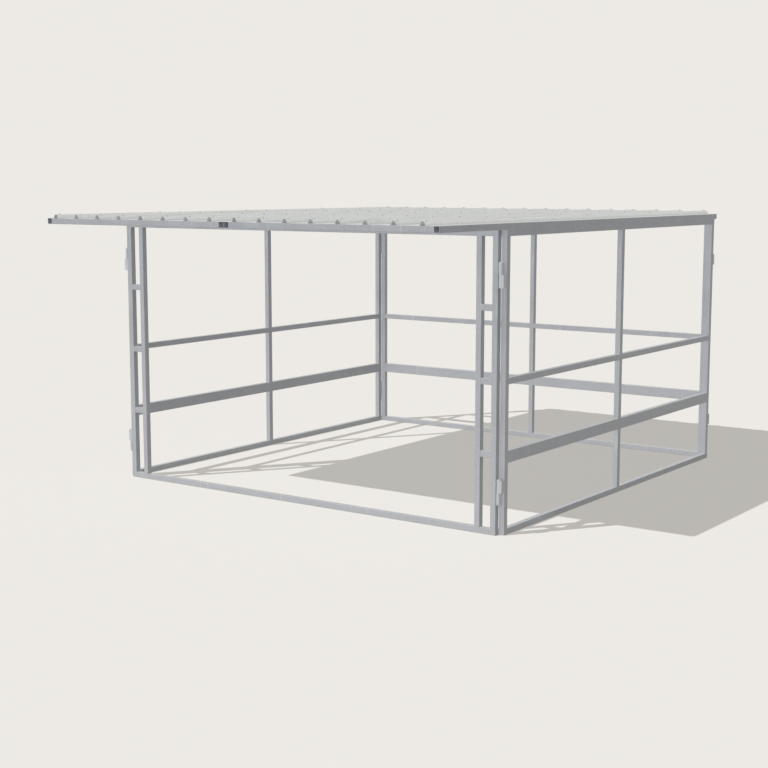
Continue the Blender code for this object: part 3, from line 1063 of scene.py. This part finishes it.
@dataclass
class RoofScrews:
    """Rows of sealed screws on the ribs, over every beam and purlin."""

    rack: FinishRack
    rib_count: int = 8
    purlin_count: int = 3
    stray_across: float = 0.0015
    stray_along: float = 0.004

    def rib_middles(self, side: str, sign: float) -> list[float]:
        """X of every rib on one sheet.

        Args:
            side: left or right.
            sign: Side of the shelter.

        Returns:
            The middles of the ribs.
        """
        edge = max(abs(corner.x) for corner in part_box(f"outer_rafter_{side}"))
        near = min(abs(corner.x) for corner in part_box(f"inner_rafter_{side}"))
        pitch = (edge - near) / self.rib_count
        return [sign * (edge - pitch * (index + 0.5)) for index in range(self.rib_count)]

    def rows(self, side: str) -> list[float]:
        """Y of the beams and purlins under one sheet.

        Args:
            side: left or right.

        Returns:
            The middles of the cross tubes.
        """
        purlins = [f"purlin_{side}_{number + 1}" for number in range(self.purlin_count)]
        names = [f"front_beam_{side}", *purlins, f"rear_beam_{side}"]
        return [sum((corner.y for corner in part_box(name)), 0.0) / 2 for name in names]

    def build(self) -> None:
        """Set the screws of both sheets."""
        for side, sign in SIDES:
            dice = random.Random(side)
            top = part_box(f"roof_sheet_{side}")[1].z
            mesh = MeshBuild()
            for y in self.rows(side):
                for x in self.rib_middles(side, sign):
                    across = x + dice.uniform(-self.stray_across, self.stray_across)
                    along = y + dice.uniform(-self.stray_along, self.stray_along)
                    turn = Matrix.Rotation(dice.uniform(0.0, math.pi / 3), 4, "Z")
                    seat = Matrix.Translation(Vector((across, along, top)))
                    ROOF_SCREW.drive(mesh, seat @ turn)
            mesh.piece(f"roof_screws_{side}", (PIN_FINISH, SEAL_FINISH), self.rack)
            log.info("set the screws of the %s sheet", side)


@dataclass
class LugScrews:
    """Screws that hold the rafters' lugs to the top rails."""

    rack: FinishRack
    spacing: float = 0.030
    inset: float = 0.600
    thickness: float = 0.0053

    def outer_seats(self) -> list[Matrix]:
        """Seats on the lugs of the outer rafters.

        Returns:
            Place and direction of each screw.
        """
        seats = []
        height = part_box("left_top_rail")[1].z - TUBE / 2
        front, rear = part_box("front_top_rail")[0].y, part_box("rear_top_rail")[1].y
        for side, sign in SIDES:
            low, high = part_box(f"{side}_top_rail")
            face = (low if sign > 0.0 else high).x - sign * self.thickness
            turn = Matrix.Rotation(-sign * math.pi / 2, 4, "Y")
            for y in (front + self.inset, rear - self.inset):
                for shift in (-0.5, 0.5):
                    spot = Vector((face, y + shift * self.spacing, height))
                    seats.append(Matrix.Translation(spot) @ turn)
        return seats

    def inner_seats(self) -> list[Matrix]:
        """Seats on the lugs of the inner rafters.

        Returns:
            Place and direction of each screw.
        """
        seats = []
        for name, inward in (("front_top_rail", 1.0), ("rear_top_rail", -1.0)):
            low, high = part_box(name)
            face = (high if inward > 0.0 else low).y + inward * self.thickness
            turn = Matrix.Rotation(-inward * math.pi / 2, 4, "X")
            for side, _ in SIDES:
                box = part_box(f"inner_rafter_{side}")
                spot = Vector(((box[0].x + box[1].x) / 2, face, high.z - TUBE / 2))
                seats.append(Matrix.Translation(spot) @ turn)
        return seats

    def build(self) -> bpy.types.Object:
        """Set all lug screws as one piece.

        Returns:
            The piece.
        """
        mesh = MeshBuild()
        for seat in (*self.outer_seats(), *self.inner_seats()):
            LUG_SCREW.drive(mesh, seat)
        log.info("set the lug screws")
        return mesh.piece("lug_screws", (PIN_FINISH, PIN_FINISH), self.rack)


class Reach(Enum):
    """What a lamp lights."""

    FLOOR_ONLY = "INCLUDE"
    ALL_BUT_FLOOR = "EXCLUDE"


@dataclass
class Studio:
    """Pale floor and background, an even light from the front left, and even fill.

    One lamp lights the shelter softly, without shadows of one tube on another. A second one in
    the same direction lights the floor alone and lays the shelter's shadow there. Neither makes
    a glare in the metal, which shows the pale background instead.
    """

    backdrop: Colour = (0.847, 0.823, 0.783)
    shadow: Colour = (0.494, 0.477, 0.449)
    key: float = 1.08
    fill: float = 0.265
    bounce: float = 0.385
    floor_key: float = 3.20
    sun_travel: Triple = (0.505, 0.745, -1.0)
    sun_angle: float = 0.4
    reach: float = 400.0

    def lamp(self, name: str, level: float, reach: Reach,
             floor: bpy.types.Object) -> bpy.types.Object:
        """Lamp that shines from the front left down to the rear right.

        Args:
            name: Name of the lamp.
            level: Brightness of white that faces it.
            reach: What it lights.
            floor: The studio's floor.

        Returns:
            The lamp.
        """
        light = bpy.data.lights.new(name, "SUN")
        light.energy = level * math.pi
        light.angle = math.radians(self.sun_angle)
        light.use_shadow = reach is Reach.FLOOR_ONLY
        obj = placed(name, light)
        obj.rotation_euler = Vector(self.sun_travel).to_track_quat("-Z", "Y").to_euler()
        obj.visible_glossy = False
        lit = bpy.data.collections.new(f"{name}_reach")
        lit.objects.link(floor)
        lit.collection_objects[0].light_linking.link_state = reach.value
        obj.light_linking.receiver_collection = lit
        return obj

    def seen(self, shop: NodeShop) -> Term:
        """One for rays that show the background, in the picture or in metal, else zero.

        Args:
            shop: Maker of the nodes.

        Returns:
            The mask.
        """
        rays = shop.add("ShaderNodeLightPath").outputs
        camera, glossy, through = (Term(shop, rays[f"Is {kind} Ray"])
                                   for kind in ("Camera", "Glossy", "Transmission"))
        return camera + glossy + through

    def world(self) -> bpy.types.World:
        """Even fill, seen by the camera and in metal as the pale background.

        Returns:
            The world.
        """
        world = bpy.data.worlds.new("studio")
        world.use_nodes = True
        shop = NodeShop(world.node_tree)
        back = world.node_tree.nodes["Background"]
        shop.feed(back.inputs["Color"], shop.tint(self.seen(shop), (self.fill,) * 3, self.backdrop))
        bpy.context.scene.world = world
        return world

    def floor_material(self) -> bpy.types.Material:
        """Floor that is exactly the background's colour in the light, and keeps shadows.

        Returns:
            The material.
        """
        direct = self.floor_key * -Vector(self.sun_travel).normalized().z
        tone = tuple((lit - dim) / direct for lit, dim in zip(self.backdrop, self.shadow))
        glow = tuple(dim - self.fill * share for dim, share in zip(self.shadow, tone))
        made = bpy.data.materials.new("studio_floor")
        made.use_nodes = True
        shop = NodeShop(made.node_tree)
        made.node_tree.nodes.remove(made.node_tree.nodes["Principled BSDF"])
        matt = shop.add("ShaderNodeBsdfDiffuse", {}, {"Color": tone})
        light = shop.add("ShaderNodeEmission", {}, {"Color": glow})
        shown = shop.add("ShaderNodeAddShader", {}, {0: matt.outputs[0], 1: light.outputs[0]})
        even = shop.add("ShaderNodeEmission", {}, {"Color": (self.bounce,) * 3})
        both = shop.add("ShaderNodeMixShader", {},
                        {0: self.seen(shop), 1: even.outputs[0], 2: shown.outputs[0]})
        shop.feed(made.node_tree.nodes["Material Output"].inputs["Surface"], both.outputs[0])
        return made

    def floor(self) -> bpy.types.Object:
        """Level floor out to the horizon.

        Returns:
            The floor.
        """
        mesh = bpy.data.meshes.new("floor")
        low = CAD_BOX[0][2]
        corners = [(x * self.reach, y * self.reach, low)
                   for x, y in ((-1, -1), (1, -1), (1, 1), (-1, 1))]
        mesh.from_pydata(corners, [], [(0, 1, 2, 3)])
        mesh.materials.append(self.floor_material())
        obj = placed("floor", mesh)
        return obj

    def build(self) -> None:
        """Set up floor, lamps and fill."""
        floor = self.floor()
        self.lamp("key", self.key, Reach.ALL_BUT_FLOOR, floor)
        self.lamp("floor_key", self.floor_key, Reach.FLOOR_ONLY, floor)
        self.world()
        bpy.context.scene.view_settings.view_transform = "Standard"
        log.info("set up the studio")


@dataclass
class PhotoCamera:
    """Camera at the photograph's place and angle."""

    place: Triple = (6.9553, -10.0146, 2.4820)
    yaw: float = 35.530
    pitch: float = 7.950
    focal_pixels: float = 1440.34
    image: int = 768
    sensor: float = 36.0
    far: float = 1000.0

    def build(self) -> bpy.types.Object:
        """Put the camera into the scene.

        Returns:
            The camera.
        """
        data = bpy.data.cameras.new("photo")
        data.sensor_width = self.sensor
        data.lens = self.focal_pixels / self.image * self.sensor
        data.clip_end = self.far
        obj = placed("photo", data)
        obj.location = self.place
        obj.rotation_euler = (math.radians(90.0 - self.pitch), 0.0, math.radians(self.yaw))
        bpy.context.scene.camera = obj
        log.info("placed the camera")
        return obj


def main() -> None:
    """Build the studio and every piece."""
    logging.basicConfig(level=logging.INFO, format="%(name)s: %(message)s")
    PhotoCamera().build()
    rack = FinishRack()
    TubeWork(rack).dress()
    FrameWelds(rack).build()
    RoofScrews(rack).build()
    LugScrews(rack).build()
    Studio().build()


if __name__ == "__main__":
    main()
